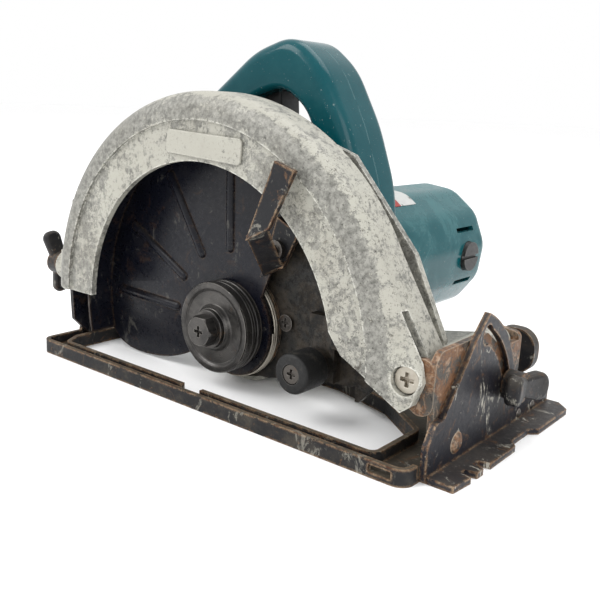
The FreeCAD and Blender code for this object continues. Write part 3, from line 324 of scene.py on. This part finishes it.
def bare_steel(name, base, rough, brown=0.25):
    """Turned or plated steel with a little tarnish."""
    made = Recipe(name, 0.85, rough)
    fine = made.noise(700, 5, 0.7)
    cloud = made.noise(120, 6, 0.7)
    shade = made.mix(fine, srgb(*[value - 14 for value in base]), srgb(*[value + 16 for value in base]))
    shade = made.mix(made.sum(made.level(cloud, 0.5, 0.62), brown, "MULTIPLY"), shade, srgb(92, 66, 46))
    shade = made.mix(made.sum(made.edges(0.0006, 0.03, 0.15), 0.5, "MULTIPLY"), shade,
                     srgb(*[min(value + 70, 235) for value in base]))
    made.colour(shade)
    made.roughness(made.level(fine, 0.3, 0.7, rough - 0.08, rough + 0.16))
    made.bump((fine, 0.12, 0.0003), (cloud, 0.08, 0.0004))
    return made.material


def turned_steel(name):
    """Dark steel with lathe rings about the arbor axis."""
    made = Recipe(name, 0.8, 0.34)
    wave = made.node("ShaderNodeTexWave", wave_type="RINGS", rings_direction="Y", wave_profile="SIN")
    made.feed(wave.inputs["Vector"], made.from_arbor(1))
    wave.inputs["Scale"].default_value = 420
    wave.inputs["Distortion"].default_value = 0.6
    fine = made.noise(600, 5, 0.7)
    cloud = made.noise(90, 6, 0.7)
    shade = made.mix(made.level(cloud, 0.35, 0.65), srgb(46, 45, 45), srgb(74, 72, 70))
    shade = made.mix(made.sum(wave.outputs["Fac"], 0.25, "MULTIPLY"), shade, srgb(104, 101, 97))
    shade = made.mix(made.sum(made.edges(0.0008, 0.03, 0.14), 0.6, "MULTIPLY"), shade, srgb(140, 136, 130))
    rust = made.level(made.noise(160, 7, 0.75), 0.6, 0.68)
    shade = made.mix(made.sum(rust, 0.5, "MULTIPLY"), shade, srgb(96, 76, 58))
    made.colour(shade)
    made.roughness(made.level(fine, 0.3, 0.7, 0.26, 0.44))
    made.bump((wave.outputs["Fac"], 0.10, 0.0002), (fine, 0.12, 0.0003))
    return made.material


def glossy_plastic(name, base, dust_colour, dust):
    """Moulded glossy plastic with dust, pale specks and pale worn edges."""
    made = Recipe(name, 0.0, 0.22, coat=0.08, specular=0.18)
    cloud = made.noise(24, 6, 0.6)
    fine = made.noise(800, 4, 0.7)
    shade = made.mix(cloud, srgb(*base), srgb(base[0] + 2, base[1] + 10, base[2] + 10))
    film = made.level(made.noise(48, 9, 0.72, warp=0.7), 0.42, 0.74)
    settled = made.sum(made.facing_up(0.35, 1.0), 0.5, "MULTIPLY")
    dusty = made.sum(made.sum(film, settled), dust, "MULTIPLY")
    shade = made.mix(dusty, shade, srgb(*dust_colour))
    specks = made.level(made.noise(620, 3, 0.8), 0.675, 0.70)
    shade = made.mix(made.sum(specks, 0.5, "MULTIPLY"), shade, srgb(168, 178, 174))
    rubbed = made.level(made.noise(160, 6, 0.7), 0.35, 0.6)
    edge = made.level(made.sum(made.edges(0.0010, 0.02, 0.12), rubbed, "MULTIPLY"), 0.4, 0.8)
    shade = made.mix(made.sum(edge, 0.35, "MULTIPLY"), shade, srgb(118, 150, 152))
    made.colour(shade)
    made.roughness(made.level(made.sum(dusty, made.sum(fine, 0.25, "MULTIPLY")), 0.05, 0.9, 0.19, 0.62))
    made.bump((fine, 0.05, 0.0003), (made.noise(36, 2), 0.06, 0.002))
    return made.material


def dark_plastic(name, base, rough, grain):
    """Plain moulded plastic or rubber with a little dust."""
    made = Recipe(name, 0.0, rough, specular=0.4)
    fine = made.noise(900, 4, 0.7)
    cloud = made.noise(80, 7, 0.7)
    shade = made.mix(cloud, srgb(*base), srgb(*[value + 16 for value in base]))
    shade = made.mix(made.sum(made.level(cloud, 0.55, 0.7), 0.35, "MULTIPLY"), shade, srgb(110, 104, 94))
    shade = made.mix(made.sum(made.edges(0.0008, 0.03, 0.15), 0.3, "MULTIPLY"), shade, srgb(120, 118, 112))
    made.colour(shade)
    made.roughness(made.level(fine, 0.3, 0.7, rough - 0.1, rough + 0.12))
    made.bump((fine, grain, 0.0004))
    return made.material


def foil_label(name):
    """Silver foil with one plain red band and no lettering."""
    made = Recipe(name, 0.3, 0.35)
    low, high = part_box("rating_label")
    along = made.axis("Y")
    start = low.y + (high.y - low.y) * BAND_START
    end = start + BAND_WIDTH * MM
    band = made.sum(made.level(along, start - BAND_FADE * MM, start),
                    made.level(along, end, end + BAND_FADE * MM, 1.0, 0.0), "MULTIPLY")
    fine = made.noise(500, 5, 0.7)
    shade = made.mix(fine, srgb(168, 170, 170), srgb(206, 206, 202))
    shade = made.mix(band, shade, srgb(150, 44, 40))
    shade = made.mix(made.level(made.noise(120, 7, 0.75), 0.58, 0.64), shade, srgb(104, 104, 98))
    made.colour(shade)
    made.roughness(made.level(fine, 0.3, 0.7, 0.3, 0.5))
    made.bump((fine, 0.08, 0.0002))
    return made.material


def plain_metal(name, low, high, metallic, rough):
    """Metal or carbon inside the motor: a slight grain and tint."""
    made = Recipe(name, metallic, rough)
    grain = made.noise(500, 5, 0.7)
    made.colour(made.mix(grain, srgb(*low), srgb(*high)))
    made.roughness(made.level(grain, 0.3, 0.7, rough - 0.06, rough + 0.1))
    made.bump((grain, 0.15, 0.0003))
    return made.material


LOOKS = {
    "case": cast_paint("cast_case", 0.02),
    "gear_case": cast_paint("cast_gear_case", -0.02),
    "plate": cast_paint("cast_plate", -0.05),
    "guard": black_paint("guard_black", 0.07, 0.22, base=(7, 8, 14), gloss=0.30, scuffs=0.12),
    "lever": black_paint("lever_black", 0.12, 1.0, base=(18, 18, 19), gloss=0.42, scuffs=0.35),
    "sole": black_paint("sole_black", 0.45, 1.0, base=(20, 19, 18), gloss=0.5, scuffs=0.35),
    "front": black_paint("front_black", 0.16, 1.0, base=(20, 20, 24), gloss=0.38, scuffs=0.85),
    "wing": black_paint("wing_black", 0.2, 0.9, base=(20, 19, 19), gloss=0.42, scuffs=0.5),
    "bracket": rusty_steel("bracket_rust", 0.5),
    "retainer": rusty_steel("retainer_rust", 0.2, light=(120, 96, 74)),
    "screw": bare_steel("screw_steel", (168, 162, 150), 0.36),
    "dark_screw": bare_steel("dark_screw_steel", (84, 80, 76), 0.4, brown=0.4),
    "flange": turned_steel("flange_steel"),
    "teal": glossy_plastic("teal_plastic", (0, 60, 67), (80, 130, 132), 0.06),
    "dusty_teal": glossy_plastic("dusty_teal_plastic", (0, 66, 72), (92, 136, 138), 0.34),
    "rubber": dark_plastic("black_rubber", (16, 16, 16), 0.62, 0.3),
    "dark": dark_plastic("black_plastic", (20, 20, 21), 0.42, 0.12),
    "label": foil_label("foil_label"),
    "brass": plain_metal("plain_brass", (150, 116, 60), (190, 156, 92), 0.9, 0.35),
    "copper": plain_metal("plain_copper", (140, 72, 40), (190, 108, 66), 0.85, 0.4),
    "stack": plain_metal("steel_stack", (96, 96, 96), (140, 139, 136), 0.8, 0.42),
    "carbon": plain_metal("carbon_block", (26, 26, 27), (44, 44, 45), 0.1, 0.5),
}

# node: (look, edge rounding in mm), with 0 where the CAD mesh itself stays
FINISH = {
    "sole_plate": ("sole", 0.7), "front_plate": ("front", 0.6), "front_rivets": ("dark_screw", 0.5),
    "fence_holder": ("sole", 0.5), "tilt_rivet": ("bracket", 0.5), "rear_tilt_rivet": ("bracket", 0.5),
    "fence_screw": ("wing", 0.9), "pivot_bracket": ("bracket", 0.6), "depth_guide": ("guard", 0.4),
    "pivot_screw": ("screw", 0.4), "pivot_nut": ("screw", 0.5), "blade_case": ("case", 1.2),
    "name_plate": ("plate", 0.5), "rubber_bumper": ("rubber", 1.0), "bumper_screw": ("dark_screw", 0.3),
    "bearing_retainer": ("retainer", 0.4), "retainer_screws": ("dark_screw", 0.3),
    "guard_snap_ring": ("dark_screw", 0.2), "inner_flange": ("flange", 0.6), "outer_flange": ("flange", 0.6),
    "arbor_washer": ("flange", 0.4), "arbor_bolt": ("flange", 0.6), "gear_housing": ("gear_case", 1.0),
    "motor_housing": ("dusty_teal", 1.4), "rating_label": ("label", 0.1), "brush_caps": ("dark", 0.5),
    "handle_right_shell": ("teal", 1.0), "handle_left_shell": ("teal", 1.0), "handle_screws": ("screw", 0.3),
    "trigger": ("dark", 1.0), "lock_button": ("dark", 0.6), "cord_gland": ("rubber", 0.6),
    "lower_guard": ("guard", 0.5), "guard_lever": ("lever", 0.5), "lever_screw": ("dark_screw", 0.3),
    "bevel_wing_bolt": ("wing", 0.5), "depth_wing_bolt": ("wing", 0.5),
    "spindle": ("screw", 0), "return_spring": ("screw", 0), "spindle_bearing": ("screw", 0),
    "spindle_needle_bearing": ("screw", 0), "armature_front_bearing": ("screw", 0),
    "armature_rear_bearing": ("screw", 0), "drive_gear": ("screw", 0),
    "armature_shaft": ("screw", 0), "armature_core": ("stack", 0), "commutator": ("copper", 0),
    "cooling_fan": ("dark", 0), "brush_holders": ("brass", 0), "carbon_brushes": ("carbon", 0),
    "stator_core": ("stack", 0), "field_coils": ("copper", 0), "baffle_plate": ("dark", 0),
    "switch": ("dark", 0),
}
BODY_OF = {node: body for body, nodes in frame["record"]["behaviour"]["bodies"].items() for node in nodes}


# ---------------------------------------------------------------- pieces

def add(name, mesh, look):
    mesh.materials.clear()
    mesh.materials.append(LOOKS[look])
    piece = bpy.data.objects.new(name, mesh)
    bpy.context.scene.collection.objects.link(piece)
    return piece


def stand_for(piece, node):
    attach(piece, BODY_OF[node])
    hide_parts(node)


def round_edges(piece, width):
    bevel = piece.modifiers.new("rounding", "BEVEL")
    bevel.width = width * MM
    bevel.segments = 2
    bevel.limit_method = "ANGLE"
    bevel.angle_limit = SHARP_ANGLE
    bevel.use_clamp_overlap = True
    bevel.harden_normals = True


def finished(node, look, width):
    """A copy of a CAD node with its seams joined, its flat faces made whole and its edges rounded."""
    mesh = frame["nodes"][node].data.copy()
    mesh.name = node + "_mesh"
    net = bmesh.new()
    net.from_mesh(mesh)
    bmesh.ops.remove_doubles(net, verts=net.verts, dist=WELD_DISTANCE)
    bmesh.ops.dissolve_limit(net, angle_limit=FLAT_ANGLE, verts=net.verts, edges=net.edges)
    net.to_mesh(mesh)
    net.free()
    mesh.shade_smooth()
    mesh.set_sharp_from_angle(angle=SHARP_ANGLE)
    piece = add(node + "_finished", mesh, look)
    round_edges(piece, width)
    stand_for(piece, node)


for node, (look, width) in FINISH.items():
    if width:
        finished(node, look, width)
    else:
        target = frame["nodes"][node]
        target.data.materials.clear()
        target.data.materials.append(LOOKS[look])


# ---------------------------------------------------------------- room, lights, camera

def room():
    """A round pale floor, level all the way out."""
    net = bmesh.new()
    bmesh.ops.create_circle(net, cap_ends=True, radius=FLOOR_RADIUS, segments=96)
    net.normal_update()
    for face in net.faces:
        if face.normal.z < 0:
            face.normal_flip()
    mesh = bpy.data.meshes.new("floor_mesh")
    net.to_mesh(mesh)
    net.free()
    made = Recipe("pale_floor", 0.0, 0.8, specular=0.1)
    made.colour(made.mix(made.noise(3, 2), srgb(254, 254, 254), srgb(255, 255, 255)))
    mesh.materials.append(made.material)
    floor = bpy.data.objects.new("floor", mesh)
    bpy.context.scene.collection.objects.link(floor)


def softbox(name, place, width, height, power):
    data = bpy.data.lights.new(name, "AREA")
    data.shape = "RECTANGLE"
    data.size = width
    data.size_y = height
    data.energy = power
    light = bpy.data.objects.new(name, data)
    light.location = place
    light.rotation_euler = (Vector(LIGHT_TARGET) - Vector(place)).to_track_quat("-Z", "Y").to_euler()
    bpy.context.scene.collection.objects.link(light)


def studio():
    world = bpy.data.worlds.new("studio")
    world.use_nodes = True
    backdrop = world.node_tree.nodes["Background"]
    backdrop.inputs["Color"].default_value = (1.0, 1.0, 1.0, 1.0)
    backdrop.inputs["Strength"].default_value = 1.0
    bpy.context.scene.world = world
    for light in LIGHTS:
        softbox(*light)
    bpy.context.scene.view_settings.view_transform = "Standard"


def camera():
    yaw, pitch, roll = (math.radians(angle) for angle in CAMERA_YAW_PITCH_ROLL)
    ahead = Vector((-math.sin(yaw) * math.cos(pitch), math.cos(yaw) * math.cos(pitch), math.sin(pitch)))
    right = ahead.cross(Vector((0, 0, 1))).normalized()
    up = right.cross(ahead)
    tilted_right = right * math.cos(roll) + up * math.sin(roll)
    tilted_up = up * math.cos(roll) - right * math.sin(roll)
    data = bpy.data.cameras.new("camera")
    data.lens = CAMERA_LENS
    data.sensor_width = 36.0
    data.clip_start = 0.01
    view = bpy.data.objects.new("camera", data)
    turn = Matrix((tilted_right, tilted_up, -ahead)).transposed().to_4x4()
    view.matrix_world = Matrix.Translation(at(*CAMERA_PLACE)) @ turn
    bpy.context.scene.collection.objects.link(view)
    bpy.context.scene.camera = view


room()
studio()
camera()
